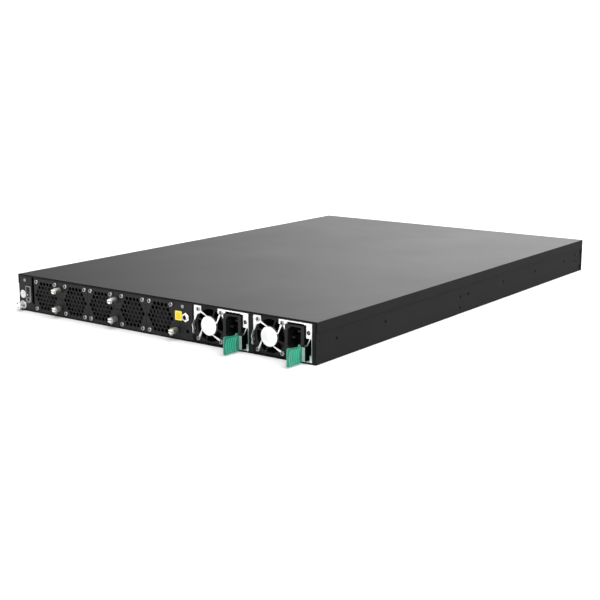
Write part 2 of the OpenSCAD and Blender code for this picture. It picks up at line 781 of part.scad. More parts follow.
// Spring strip with the latch's catch. It runs along the inside of the case, steps across to
// the slot and bends sideways in front of the face, where the grip is moulded on it.
module latch_spring(i) {
    run = psu_w - psu_t - 1.1;
    color([0.75, 0.76, 0.77]) at_psu(i) {
        box([tab_s + 1, tab_y - 16, 4.2], [tab_s + 1.5, tab_y - 0.6, 14]);
        box([tab_s + 1, tab_y - 0.6, spring_z0], [spring_s + spring_t, tab_y + 0.1, spring_z1]);
        box([spring_s, tab_y - 0.6, spring_z0],
            [spring_s + spring_t, spring_step + spring_t, spring_z1]);
        box([spring_s, spring_step, spring_z0], [run, spring_step + spring_t, spring_z1]);
        box([run - spring_t, spring_step, spring_z0], [run, spring_end, spring_z1]);
        translate([run - spring_t / 2, hinge_y, spring_z0])
            cylinder(r = 0.9, h = spring_z1 - spring_z0);
        translate([0, 0, 6]) linear_extrude(7) polygon([
            [run - 0.1, catch_y], [psu_w + 0.1, catch_y + 4.4], [psu_w + 0.1, catch_y + 5],
            [run - 0.1, catch_y + 5]
        ]);
    }
}

module latch_grip(i) {
    color([0.05, 0.42, 0.3]) at_psu(i) difference() {
        translate([tab_s, tab_y, 0]) rotate([90, 0, 90]) linear_extrude(tab_t) polygon([
            [-0.7, tab_z0 + 0.6], [-tab_l, tab_z0], [-tab_l - 1.2, tab_z0 + 1.4],
            [-tab_l - 1.2, tab_z1 + 0.4], [-tab_l, tab_z1 + 1.4], [-5, tab_z1 + 0.3],
            [-2.6, tab_z1 + 2.2], [-0.7, tab_z1 - 0.4]
        ]);
        box([tab_s + 1 - gap, tab_y - 16 - gap, 4.2 - gap], [tab_s + 1.5 + gap, 0, 14 + gap]);
        for (k = [0:grooves - 1])
            translate([tab_s + tab_t + 0.5, tab_y - 4 - k * 3.6, tab_z0 - 1])
                cylinder(r = 1, h = tab_z1 + 4);
    }
}

// ---------- Drawing ----------

chassis_base();
top_cover();
front_panel();
rear_frame();
psu_cage();
service_panel();
timing_panel();
panel_screws();
main_board();
heatsinks();
port_cages();
port_connectors();
management_ports();
fan_board();
service_bezel();
service_button();
ground_stud();
ground_nut();
sma_jack();
for (i = [0:fans - 1]) {
    fan_face(i);
    fan_frame(i);
    fan_rotor(i);
    fan_screws(i);
    fan_thumbscrew(i);
}
for (i = [0:supplies - 1]) {
    psu_case(i);
    psu_face(i);
    psu_inlet(i);
    psu_fan_frame(i);
    psu_rotor(i);
    psu_screws(i);
    psu_board(i);
    latch_spring(i);
    latch_grip(i);
}
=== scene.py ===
"""Looks for a one-unit rackmount network switch, seen from its fan and power supply side.

Metres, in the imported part's frame: +Z up, -Y out of the ports, +Y out of the fans.
"""

import json
from math import cos, pi, radians, sin

import bmesh
import bpy
from mathutils import Matrix, Vector


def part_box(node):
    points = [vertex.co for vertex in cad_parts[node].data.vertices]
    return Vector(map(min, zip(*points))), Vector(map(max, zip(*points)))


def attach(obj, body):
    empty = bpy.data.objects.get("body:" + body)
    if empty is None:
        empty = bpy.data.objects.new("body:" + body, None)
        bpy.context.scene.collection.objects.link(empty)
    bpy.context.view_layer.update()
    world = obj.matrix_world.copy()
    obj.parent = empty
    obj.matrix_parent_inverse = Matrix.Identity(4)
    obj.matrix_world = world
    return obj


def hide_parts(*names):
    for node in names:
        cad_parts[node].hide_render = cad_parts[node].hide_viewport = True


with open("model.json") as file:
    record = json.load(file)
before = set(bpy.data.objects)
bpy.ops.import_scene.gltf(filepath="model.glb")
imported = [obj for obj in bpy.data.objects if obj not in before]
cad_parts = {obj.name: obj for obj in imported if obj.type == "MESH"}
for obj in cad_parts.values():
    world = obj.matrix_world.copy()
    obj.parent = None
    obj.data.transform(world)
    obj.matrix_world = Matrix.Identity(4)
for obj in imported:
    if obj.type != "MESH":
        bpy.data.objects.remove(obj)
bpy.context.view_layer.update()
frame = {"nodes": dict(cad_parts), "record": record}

MM = 0.001
FANS = [f"fan_{k}" for k in range(1, 6)]
SUPPLIES = ["psu_1", "psu_2"]
NODES = frame["nodes"]


def body_of(node):
    """The body that holds a CAD node."""
    for name, members in frame["record"]["behaviour"]["bodies"].items():
        if node in members:
            return name


# ---------- Shader nodes ----------

class Shader:
    """A material's node tree, with one short call for each kind of node."""

    def __init__(self, name):
        self.material = bpy.data.materials.new(name)
        self.material.use_nodes = True
        self.tree = self.material.node_tree
        self.bsdf = self.tree.nodes["Principled BSDF"]
        self.place = self.add("ShaderNodeTexCoord").outputs["Object"]

    def feed(self, socket, value):
        """Links another node's output to a socket, or sets a number or colour on it."""
        if isinstance(value, bpy.types.NodeSocket):
            self.tree.links.new(value, socket)
        elif isinstance(value, tuple):
            socket.default_value = (*value, 1)
        else:
            socket.default_value = value

    def add(self, kind, **inputs):
        node = self.tree.nodes.new(kind)
        for key, value in inputs.items():
            self.feed(node.inputs[key.replace("_", " ")], value)
        return node

    def stretched(self, scale):
        """The place, with each axis scaled."""
        node = self.add("ShaderNodeMapping", Vector=self.place)
        node.inputs["Scale"].default_value = scale
        return node.outputs["Vector"]

    def noise(self, scale, detail=3.0, roughness=0.5, place=None):
        node = self.add("ShaderNodeTexNoise", Vector=place or self.place, Scale=scale,
                        Detail=detail, Roughness=roughness)
        return node.outputs["Fac"]

    def cells(self, scale):
        """How far the place is from the nearest of some scattered points."""
        return self.add("ShaderNodeTexVoronoi", Vector=self.place, Scale=scale).outputs["Distance"]

    def ramp(self, value, stops):
        """Colours or greys at places along 0 to 1."""
        node = self.add("ShaderNodeValToRGB", Fac=value)
        bar = node.color_ramp
        while len(bar.elements) < len(stops):
            bar.elements.new(0.5)
        for element, (place, colour) in zip(bar.elements, stops):
            element.position = place
            grey = not isinstance(colour, tuple)
            element.color = (colour, colour, colour, 1) if grey else (*colour, 1)
        return node.outputs["Color"]

    def span(self, value, low, high):
        """A 0 to 1 value as a number from low to high."""
        node = self.add("ShaderNodeMapRange", Value=value)
        node.inputs["To Min"].default_value = low
        node.inputs["To Max"].default_value = high
        return node.outputs["Result"]

    def sums(self, first, second, operation="ADD"):
        node = self.tree.nodes.new("ShaderNodeMath")
        node.operation = operation
        for socket, value in zip(node.inputs, (first, second)):
            self.feed(socket, value)
        return node.outputs[0]

    def blend(self, share, first, second):
        """Two colours mixed, with the share of the second."""
        node = self.tree.nodes.new("ShaderNodeMix")
        node.data_type = "RGBA"
        for number, value in ((0, share), (6, first), (7, second)):
            self.feed(node.inputs[number], value)
        return node.outputs[2]

    def height(self, value, distance, strength=1.0):
        """Bumps of a real height, in metres."""
        node = self.add("ShaderNodeBump", Height=value, Distance=distance, Strength=strength)
        self.tree.links.new(node.outputs["Normal"], self.bsdf.inputs["Normal"])

    def set(self, **inputs):
        """Feeds the surface shader's inputs by name."""
        for key, value in inputs.items():
            self.feed(self.bsdf.inputs[key.replace("_", " ")], value)


def shade(colour, factor):
    """The colour, darker or brighter by a factor."""
    return tuple(c * factor for c in colour)


# ---------- Materials ----------

def powder_coat(name, colour, roughness, specular=0.18):
    """Black powder coat: a fine orange peel, dust in it and slightly uneven gloss."""
    s = Shader(name)
    peel = s.noise(1500, 2, 0.55)
    cloud = s.noise(9, 4, 0.6)
    grain = s.noise(4200, 1, 0.5)
    tone = s.ramp(s.sums(s.sums(cloud, 0.7, "MULTIPLY"), s.sums(grain, 0.3, "MULTIPLY")),
                  [(0.3, shade(colour, 0.82)), (0.7, shade(colour, 1.2))])
    s.set(Base_Color=tone, Roughness=s.span(cloud, roughness - 0.05, roughness + 0.05),
          Specular_IOR_Level=specular)
    s.height(peel, 0.00004, 0.35)
    return s.material


def moulded(name, colour, roughness=0.5, spark=0.00003, specular=0.4):
    """Moulded plastic with a spark-eroded texture."""
    s = Shader(name)
    grain = s.noise(2600, 2, 0.6)
    cloud = s.noise(40, 3, 0.5)
    s.set(Base_Color=s.ramp(cloud, [(0.3, shade(colour, 0.85)), (0.7, shade(colour, 1.15))]),
          Roughness=s.span(grain, roughness - 0.07, roughness + 0.07),
          Specular_IOR_Level=specular)
    s.height(grain, spark, 0.5)
    return s.material


def sheet_metal(name, colour, roughness, lines=(30, 900, 900), depth=0.00001):
    """Plated sheet with rolling lines along X and a faint cloudy tarnish."""
    s = Shader(name)
    brushed = s.noise(1, 4, 0.65, s.stretched(lines))
    cloud = s.noise(60, 4, 0.6)
    wear = s.ramp(s.sums(brushed, cloud, "MULTIPLY"),
                  [(0.12, shade(colour, 0.84)), (0.42, shade(colour, 1.06))])
    s.set(Base_Color=wear, Metallic=1.0,
          Roughness=s.span(brushed, roughness - 0.08, roughness + 0.1))
    s.height(brushed, depth, 0.6)
    return s.material


def turned_metal(name, colour, roughness):
    """Turned and plated metal, with fine marks round its axis."""
    s = Shader(name)
    marks = s.noise(1, 3, 0.6, s.stretched((500, 6000, 500)))
    cloud = s.noise(300, 3, 0.5)
    s.set(Base_Color=s.ramp(cloud, [(0.3, shade(colour, 0.88)), (0.7, shade(colour, 1.08))]),
          Metallic=1.0, Roughness=s.span(marks, roughness - 0.06, roughness + 0.08))
    s.height(marks, 0.000008, 0.5)
    return s.material


def circuit_board(name, lacquer, parts):
    """Green lacquer with tracks and pads, and dark parts standing on it."""
    s = Shader(name)
    tracks = s.add("ShaderNodeTexBrick", Vector=s.stretched((1, 1, 0.001)), Scale=90.0,
                   Color1=shade(lacquer, 0.8), Color2=shade(lacquer, 1.1),
                   Mortar=shade(lacquer, 1.9), Mortar_Size=0.06)
    vias = s.ramp(s.cells(420), [(0.12, 1.0), (0.16, 0.0)])
    board = s.blend(vias, tracks.outputs["Color"], (0.42, 0.36, 0.16))
    body = s.ramp(s.noise(170, 2, 0.4), [(0.35, parts), (0.7, shade(parts, 2.2))])
    up = s.add("ShaderNodeSeparateXYZ", Vector=s.place).outputs["Z"]
    standing = s.sums(up, BOARD_TOP + 0.2 * MM, "GREATER_THAN")
    s.set(Base_Color=s.blend(standing, board, body), Roughness=s.span(vias, 0.42, 0.25))
    s.height(s.noise(700, 2, 0.5), 0.00003, 0.4)
    return s.material


def printed_film(name, colour, roughness=0.42):
    """A label's film, with the faint pull of its backing."""
    s = Shader(name)
    fibre = s.noise(900, 3, 0.6)
    s.set(Base_Color=s.ramp(fibre, [(0.3, shade(colour, 0.95)), (0.7, colour)]),
          Roughness=s.span(fibre, roughness - 0.05, roughness + 0.08), Coat_Weight=0.15)
    s.height(fibre, 0.00001, 0.3)
    return s.material


def lens(name, colour, glow):
    """A clear moulded lens with a weak lamp behind it."""
    s = Shader(name)
    depth = s.noise(1200, 2, 0.4)
    s.set(Base_Color=s.ramp(depth, [(0.3, shade(colour, 0.8)), (0.7, colour)]),
          Roughness=s.span(depth, 0.12, 0.2), Coat_Weight=0.6,
          Emission_Color=colour, Emission_Strength=glow)
    return s.material


# ---------- Mesh helpers ----------

def piece(name, mesh, material, body, node=None):
    """Turns a bmesh into a piece that rides on a body and may stand for a CAD node."""
    bmesh.ops.recalc_face_normals(mesh, faces=mesh.faces)
    data = bpy.data.meshes.new(name)
    mesh.to_mesh(data)
    mesh.free()
    for one in (material if isinstance(material, (list, tuple)) else [material]):
        data.materials.append(one)
    thing = bpy.data.objects.new(name, data)
    bpy.context.scene.collection.objects.link(thing)
    smooth_by_angle(data)
    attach(thing, body)
    if node:
        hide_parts(node)
    return thing


def smooth_by_angle(data, limit=radians(32)):
    """Smooth shading, kept sharp where two faces meet at more than the limit."""
    mesh = bmesh.new()
    mesh.from_mesh(data)
    for face in mesh.faces:
        face.smooth = True
    for edge in mesh.edges:
        if len(edge.link_faces) == 2:
            edge.smooth = edge.calc_face_angle(0) < limit
    mesh.to_mesh(data)
    mesh.free()


def skin(mesh, loops, material=0, ring=False):
    """Faces from each closed loop of points to the next, with two ends or back to the first."""
    faces = []
    for first, last in zip(loops, loops[1:] + (loops[:1] if ring else [])):
        for k in range(len(first)):
            n = (k + 1) % len(first)
            faces.append(mesh.faces.new((first[k], first[n], last[n], last[k])))
    if not ring:
        faces.append(mesh.faces.new(loops[0][::-1]))
        faces.append(mesh.faces.new(loops[-1]))
    for face in faces:
        face.material_index = material
    return [point for loop in loops for point in loop]


def turned(mesh, rings, segments):
    """Loops of points round Y. Each ring is (radius, y) or (radius at a point's number, y)."""
    loops = []
    for radius, y in rings:
        loop = []
        for k in range(segments):
            angle = 2 * pi * k / segments
            r = radius(k) if callable(radius) else radius
            loop.append(mesh.verts.new((r * cos(angle), y, r * sin(angle))))
        loops.append(loop)
    return loops


def lathe(mesh, rings, segments=48, material=0):
    """A closed solid turned about Y."""
    return skin(mesh, turned(mesh, rings, segments), material)


def tube(mesh, rings, segments=48, material=0):
    """A closed ring turned about Y: the rings' outline runs out along it and back inside."""
    return skin(mesh, turned(mesh, rings, segments), material, ring=True)


def prism(mesh, outline, low, high, axis="Y", material=0):
    """A flat outline pushed from low to high along Y or X."""
    def at(point, along):
        return (point[0], along, point[1]) if axis == "Y" else (along, point[0], point[1])

    loops = [[mesh.verts.new(at(point, along)) for point in outline] for along in (low, high)]
    return skin(mesh, loops, material)


def move(mesh, verts, offset, turn=None):
    """Turns some points about the origin, then shifts them."""
    if turn:
        bmesh.ops.transform(mesh, matrix=turn, verts=verts)
    bmesh.ops.translate(mesh, vec=Vector(offset), verts=verts)


def rounded(width, height, radii, steps=6):
    """Outline of a rectangle whose corners, from low left and anticlockwise, have these radii."""
    points = []
    corners = ((-1, -1, pi), (1, -1, 1.5 * pi), (1, 1, 0), (-1, 1, 0.5 * pi))
    for (sx, sz, start), radius in zip(corners, radii):
        centre = (sx * (width / 2 - radius), sz * (height / 2 - radius))
        for k in range(steps + 1):
            angle = start + 0.5 * pi * k / steps
            points.append((centre[0] + radius * cos(angle), centre[1] + radius * sin(angle)))
    return points


def centre_of(node):
    """Middle of a CAD node's box."""
    low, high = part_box(node)
    return (low + high) / 2


def softened(node, material, width, segments=2):
    """The same piece with its sharp edges rounded, as formed and coated metal has them."""
    mesh = bmesh.new()
    mesh.from_mesh(NODES[node].data)
    bmesh.ops.remove_doubles(mesh, verts=mesh.verts, dist=0.5e-6)
    bmesh.ops.dissolve_limit(mesh, angle_limit=radians(0.4), verts=mesh.verts,
                             edges=mesh.edges)
    thing = piece(f"{node}_finished", mesh, material, body_of(node), node)
    bevel = thing.modifiers.new("rounded_edges", "BEVEL")
    bevel.width = width
    bevel.segments = segments
    bevel.limit_method = "ANGLE"
    bevel.angle_limit = radians(40)
    bevel.harden_normals = True
    bevel.use_clamp_overlap = True
    return thing


def finish_node(node, material):
    """Gives a CAD piece its material."""
    data = NODES[node].data
    data.materials.clear()
    data.materials.append(material)


# ---------- Camera, light and floor ----------

CAMERA_AT = (-0.8516, 1.2104, 0.29485)
CAMERA_AZIMUTH = 216.36
CAMERA_ELEVATION = 11.87
CAMERA_LENS = 68.83
SENSOR = 36.0
FLOOR_HALF = 60.0
FLOOR_LEVEL = -0.0002
BRIGHT_SIDE = (-0.805, -0.593, 0)
ROOM_LIGHT = {"From Min": -0.37, "From Max": 0.25, "To Min": 0.1, "To Max": 2.1}
BACKDROP_STRENGTH = 1.05
OVERHEAD_STRENGTH = 1.9
OVERHEAD_SPREAD = radians(75)
OVERHEAD_WAY = (0.25, -0.35, -1)


def camera():
    """A long lens that looks down on the corner between the fan side and a side wall."""
    data = bpy.data.cameras.new("camera")
    data.sensor_width = SENSOR
    data.lens = CAMERA_LENS
    data.clip_start = 0.01
    thing = bpy.data.objects.new("camera", data)
    bpy.context.scene.collection.objects.link(thing)
    thing.location = CAMERA_AT
    thing.rotation_euler = (radians(90 - CAMERA_ELEVATION), 0, radians(CAMERA_AZIMUTH))
    bpy.context.scene.camera = thing


def overhead_light():
    """A very broad light from above, which keeps the floor white and its shadows faint."""
    data = bpy.data.lights.new("overhead_light", "SUN")
    data.energy = OVERHEAD_STRENGTH
    data.angle = OVERHEAD_SPREAD
    thing = bpy.data.objects.new("overhead_light", data)
    bpy.context.scene.collection.objects.link(thing)
    thing.rotation_euler = Vector(OVERHEAD_WAY).to_track_quat("-Z", "Y").to_euler()


def studio():
    """Soft light that grows from one side of the room to the other, and a white backdrop."""
    world = bpy.data.worlds.new("studio")
    bpy.context.scene.world = world
    world.use_nodes = True
    nodes, links = world.node_tree.nodes, world.node_tree.links
    room = nodes["Background"]
    way = nodes.new("ShaderNodeTexCoord")
    across = nodes.new("ShaderNodeVectorMath")
    across.operation = "DOT_PRODUCT"
    across.inputs[1].default_value = BRIGHT_SIDE
    links.new(way.outputs["Generated"], across.inputs[0])
    share = nodes.new("ShaderNodeMapRange")
    share.interpolation_type = "SMOOTHSTEP"
    for name, value in ROOM_LIGHT.items():
        share.inputs[name].default_value = value
    links.new(across.outputs["Value"], share.inputs["Value"])
    links.new(share.outputs["Result"], room.inputs["Strength"])
    backdrop = nodes.new("ShaderNodeBackground")
    seen = nodes.new("ShaderNodeLightPath")
    both = nodes.new("ShaderNodeMixShader")
    links.new(seen.outputs["Is Camera Ray"], both.inputs[0])
    links.new(room.outputs[0], both.inputs[1])
    links.new(backdrop.outputs[0], both.inputs[2])
    links.new(both.outputs[0], nodes["World Output"].inputs["Surface"])
    for background in (room, backdrop):
        background.inputs["Color"].default_value = (1, 1, 1, 1)
    backdrop.inputs["Strength"].default_value = BACKDROP_STRENGTH
    overhead_light()


def floor():
    """A wide sheet of white paper just under the object."""
    mesh = bmesh.new()
    bmesh.ops.create_grid(mesh, x_segments=2, y_segments=2, size=FLOOR_HALF)
    data = bpy.data.meshes.new("floor")
    mesh.to_mesh(data)
    mesh.free()
    s = Shader("floor_paper")
    s.set(Base_Color=s.ramp(s.noise(3, 3, 0.5), [(0.3, 0.86), (0.7, 0.9)]), Roughness=0.9)
    data.materials.append(s.material)
    thing = bpy.data.objects.new("floor", data)
    thing.location.z = FLOOR_LEVEL
    bpy.context.scene.collection.objects.link(thing)


# ---------- The material set ----------

BLACK = (0.0125, 0.0125, 0.0132)
# Black of the side walls, a touch darker than the top's: painted shade on the sides.
SIDE_BLACK_PAINTED_SHADE = (0.0122, 0.0122, 0.0126)
PANEL = (0.015, 0.015, 0.0155)
# A darker black for the supply cage and the rear frame than for the panels: painted shade round
# the supply bays.
CAGE_BLACK_PAINTED_SHADE = (0.008, 0.008, 0.0084)
FAN_BLACK = (0.0038, 0.0038, 0.004)
ZINC = (0.7, 0.71, 0.72)
BRIGHT = (0.96, 0.96, 0.955)
NICKEL = (0.86, 0.85, 0.82)
GREEN = (0.018, 0.3, 0.185)
LACQUER = (0.008, 0.07, 0.035)
BOARD_TOP = 7.8 * MM

COVER_COAT = powder_coat("cover_coat", BLACK, 0.38)
# The side walls' coat: the same black with less gloss, as painted shade on the sides.
SIDE_COAT_PAINTED_SHADE = powder_coat("side_coat_painted_shade", SIDE_BLACK_PAINTED_SHADE, 0.6, 0.03)
PANEL_COAT = powder_coat("panel_coat", PANEL, 0.45)
CAGE_COAT_PAINTED_SHADE = powder_coat("cage_coat_painted_shade", CAGE_BLACK_PAINTED_SHADE, 0.5)
FAN_PLASTIC = moulded("fan_plastic", FAN_BLACK, 0.5, specular=0.25)
BLACK_PLASTIC = moulded("black_plastic", (0.0105, 0.0105, 0.011), 0.42, specular=0.25)
# Near black for the floors of sockets and jacks: painted shade in recesses.
RECESS_PAINTED_SHADE = moulded("recess_painted_shade", (0.004, 0.004, 0.0042), 0.7, specular=0.1)
GREY_PLASTIC = moulded("grey_plastic", (0.21, 0.215, 0.22), 0.4)
GREEN_PLASTIC = moulded("green_plastic", GREEN, 0.36, 0.00002)
# A darker copy of the green for the grip's face between its ribs: painted shade in the grooves.
GREEN_GROOVE_PAINTED_SHADE = moulded("green_groove_painted_shade", shade(GREEN, 0.45), 0.5, 0.00002)
ZINC_SHEET = sheet_metal("zinc_sheet", ZINC, 0.34)
BRIGHT_SHEET = sheet_metal("bright_sheet", BRIGHT, 0.36)
SPRING_STEEL = sheet_metal("spring_steel", (0.9, 0.91, 0.9), 0.55)
FIN_METAL = sheet_metal("fin_metal", (0.74, 0.75, 0.77), 0.4, (900, 30, 900))
NICKEL_PLATE = turned_metal("nickel_plate", NICKEL, 0.2)
SATIN_NICKEL = turned_metal("satin_nickel", (0.95, 0.94, 0.92), 0.5)
# A darker copy of the nickel for the knob's knurled sides: painted shade, standing in for the dark
# panel they reflect.
KNURL_PAINTED_SHADE = turned_metal("knurled_side_painted_shade", (0.5, 0.49, 0.46), 0.4)
SCREW_PLATE = turned_metal("screw_plate", (0.4, 0.4, 0.41), 0.36)
# A dark copy of the spring steel for the strip's part inside the supply: painted shade.
SPRING_STEEL_PAINTED_SHADE = sheet_metal("spring_steel_painted_shade", (0.03, 0.03, 0.032), 0.4)
BOARD = circuit_board("board_lacquer", LACQUER, (0.012, 0.012, 0.013))
WHITE_FILM = printed_film("white_film", (0.86, 0.86, 0.85))
YELLOW_FILM = printed_film("yellow_film", (0.95, 0.85, 0.05))
AMBER_FILM = printed_film("amber_film", (0.85, 0.6, 0.006))
INK = printed_film("grey_ink", (0.16, 0.16, 0.165), 0.5)
CLEAR_LENS = lens("clear_lens", (0.62, 0.64, 0.64), 0.02)
GREY_LENS = lens("grey_lens", (0.16, 0.17, 0.17), 0.0)

# ---------- Threads, knobs and jacks ----------

KNOB_LENGTH = 10.4 * MM
KNURL_DEPTH = 0.22 * MM
KNURL_TEETH = 30
THREAD_DEPTH = 0.3 * MM
SLOT_DEPTH = 1.1 * MM
SLOT_HALF = 0.5 * MM


def knurl(radius, row):
    """A ring of teeth, stepped by half a tooth on every other row."""
    return lambda k: radius - (KNURL_DEPTH if (k // 2 + row) % 2 else 0)


def knob_rings(radius, near, far, rows=11):
    """Outline of a knurled knob with a chamfer at both ends, from near to far."""
    chamfer = 0.5 * MM
    plain = 0.7 * MM
    rings = [(radius - chamfer - KNURL_DEPTH, near), (radius - KNURL_DEPTH, near + chamfer)]
    start, end = near + plain, far - plain
    for row in range(rows):
        rings.append((knurl(radius, row), start + (end - start) * row / (rows - 1)))
    rings += [(radius - KNURL_DEPTH, far - chamfer), (radius - chamfer - KNURL_DEPTH, far)]
    return rings


def thread_rings(radius, near, far, pitch):
    """Crests and roots of a screw thread."""
    count = max(2, round((far - near) / pitch))
    step = (far - near) / count
    rings = [(radius - THREAD_DEPTH, near)]
    for turn in range(count):
        rings.append((radius, near + step * (turn + 0.35)))
        rings.append((radius, near + step * (turn + 0.5)))
        rings.append((radius - THREAD_DEPTH, near + step * (turn + 0.9)))
    return rings


def slotted_end(mesh, face, low, high):
    """Two half discs of this radius, with a screwdriver's slot between them."""
    half_angle = SLOT_HALF / face
    steps = 20
    for side in (0, pi):
        angles = [side + half_angle + (pi - 2 * half_angle) * k / steps
                  for k in range(steps + 1)]
        outline = [(face * cos(angle), face * sin(angle)) for angle in angles]
        shrunk = [(x * 0.93, z * 0.93 if abs(z) > SLOT_HALF * 2 else z) for x, z in outline]
        stations = ((outline, low), (outline, high - 0.25 * MM), (shrunk, high))
        skin(mesh, [[mesh.verts.new((x, y, z)) for x, z in points] for points, y in stations])


def thumbscrew(fan):
    """Knurled knob with a slot, a neck, and a threaded end."""
    node = f"{fan}_thumbscrew"
    low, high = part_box(node)
    radius = (high.x - low.x) / 2
    shank = 1.45 * MM
    root = high.y - KNOB_LENGTH
    mesh = bmesh.new()
    # The knurled sides take the darker copy of the nickel: painted shade.
    lathe(mesh, knob_rings(radius, root, high.y - SLOT_DEPTH), 4 * KNURL_TEETH, 1)
    lathe(mesh, [(shank * 1.25, root - 0.25 * MM), (shank * 1.25, root + 0.2 * MM)], 32)
    lathe(mesh, [(shank, low.y + 2 * MM), (shank, root)], 32)
    lathe(mesh, thread_rings(shank, low.y, low.y + 4.2 * MM, 0.7 * MM), 32)
    slotted_end(mesh, radius - 0.75 * MM, high.y - SLOT_DEPTH - 0.1 * MM, high.y)
    centre = centre_of(node)
    move(mesh, mesh.verts[:], (centre.x, 0, centre.z))
    piece(f"{fan}_thumbscrew_knurled", mesh, [NICKEL_PLATE, KNURL_PAINTED_SHADE], body_of(node), node)


def ground_nut():
    """Knurled thumb nut with an open bore."""
    node = "ground_nut"
    low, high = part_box(node)
    radius = (high.x - low.x) / 2
    bore = 2.5 * MM
    rings = knob_rings(radius, low.y, high.y)
    rings += [(bore + 0.4 * MM, high.y), (bore, high.y - 0.4 * MM),
              (bore, low.y + 0.4 * MM), (bore + 0.4 * MM, low.y)]
    mesh = bmesh.new()
    tube(mesh, rings, 4 * KNURL_TEETH)
    centre = centre_of(node)
    move(mesh, mesh.verts[:], (centre.x, 0, centre.z))
    piece("ground_nut_knurled", mesh, SATIN_NICKEL, "ground_nut", node)


def ground_stud():
    """Threaded stud, a tooth-lock washer against the panel and the clinch head behind it."""
    node = "ground_stud"
    low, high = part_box(node)
    washer_r = (high.x - low.x) / 2
    stud_r = 2.45 * MM
    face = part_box("service_panel")[1].y
    mesh = bmesh.new()
    lathe(mesh, thread_rings(stud_r, face, high.y - 0.5 * MM, 0.8 * MM)
          + [(stud_r - 0.6 * MM, high.y)], 48)
    lathe(mesh, [(stud_r - 0.05 * MM, low.y + 1 * MM), (stud_r - 0.05 * MM, face + 0.5 * MM)], 48)
    lathe(mesh, [(4 * MM, low.y), (4 * MM, low.y + 2 * MM)], 48)
    tooth = 0.35 * MM

    def toothed(k):
        return washer_r - (tooth if (k // 2) % 2 else 0)

    rim = [(toothed, face + 0.05 * MM), (toothed, face + 0.85 * MM),
           (washer_r - 0.9 * MM, face + 1.1 * MM), (stud_r - 0.1 * MM, face + 1.1 * MM),
           (stud_r - 0.1 * MM, face + 0.05 * MM)]
    tube(mesh, rim, 72)
    centre = centre_of(node)
    move(mesh, mesh.verts[:], (centre.x, 0, centre.z))
    piece("ground_stud_threaded", mesh, NICKEL_PLATE, "root", node)


def antenna_jack():
    """Threaded barrel with its hexagon nut, and an insulator with the contact inside, both near
    black as painted shade in the bore.
    """
    node = "sma_jack"
    low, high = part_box(node)
    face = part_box("timing_panel")[1].y
    barrel, bore = 3.15 * MM, 2.6 * MM
    floor_y = high.y - 4.8 * MM
    mesh = bmesh.new()
    rings = [(barrel - 0.2 * MM, low.y)]
    rings += thread_rings(barrel, face - 0.4 * MM, high.y - 0.3 * MM, 0.7 * MM)
    rings += [(barrel - 0.3 * MM, high.y), (bore, high.y), (bore, floor_y), (0.5 * MM, floor_y),
              (0.5 * MM, low.y)]
    tube(mesh, rings, 48)
    lathe(mesh, [(5 * MM, face - 3.2 * MM), (5 * MM, face - 1.3 * MM)], 6)
    nut_low, nut_high = face + 0.05 * MM, face + 2.2 * MM
    flat = 5.15 * MM
    cut = 0.35 * MM
    nut = [(bore + 0.5 * MM, nut_low), (flat - cut, nut_low), (flat, nut_low + cut),
           (flat, nut_high - cut), (flat - cut, nut_high), (bore + 0.5 * MM, nut_high)]
    verts = tube(mesh, nut, 6)
    move(mesh, verts, (0, 0, 0), Matrix.Rotation(radians(30), 4, "Y"))
    # The insulator and the contact take the near black: painted shade in the bore.
    lathe(mesh, [(bore - 0.02 * MM, floor_y), (bore - 0.02 * MM, high.y - 1.5 * MM)], 48, 1)
    lathe(mesh, [(0.45 * MM, floor_y), (0.45 * MM, high.y - 1 * MM),
                 (0.3 * MM, high.y - 0.7 * MM)], 20, 1)
    centre = centre_of(node)
    move(mesh, mesh.verts[:], (centre.x, 0, centre.z))
    piece("antenna_jack_threaded", mesh, [NICKEL_PLATE, RECESS_PAINTED_SHADE], "root", node)


# Head radius, head height and shank radius
FAN_SCREW = (2.6 * MM, 1.3 * MM, 1.35 * MM)
SUPPLY_SCREW = (2.4 * MM, 1.1 * MM, 1.2 * MM)


def hexagon(across):
    """Radius at each of a turned ring's 48 points that makes it a hexagon."""
    return lambda k: across / cos(radians((k % 8) * 7.5 - 30))


def socket_screws(node, head_r, head_h, shank_r):
    """Four pan-head screws with hexagon sockets, at the corners of the node's box."""
    low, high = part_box(node)
    under = high.y - head_h
    socket = head_r * 0.44
    floor_y = high.y - head_h * 0.6
    mesh = bmesh.new()
    for x in (low.x + head_r, high.x - head_r):
        for z in (low.z + head_r, high.z - head_r):
            rings = [(shank_r * 0.7, low.y), (shank_r, low.y + 0.4 * MM), (shank_r, under),
                     (head_r - 0.1 * MM, under), (head_r, under + 0.2 * MM),
                     (head_r * 0.97, under + head_h * 0.55), (head_r * 0.86, high.y - 0.2 * MM),
                     (head_r * 0.66, high.y), (hexagon(socket), high.y),
                     (hexagon(socket * 0.97), floor_y)]
            verts = lathe(mesh, rings, 48)
            # A near-black disc at the floor of each socket is painted shade.
            verts += lathe(mesh, [(hexagon(socket * 0.96), floor_y - 0.05 * MM),
                                  (hexagon(socket * 0.96), floor_y + 0.03 * MM)], 48, 1)
            move(mesh, verts, (x, 0, z))
    piece(f"{node}_socketed", mesh, [SCREW_PLATE, RECESS_PAINTED_SHADE], body_of(node), node)


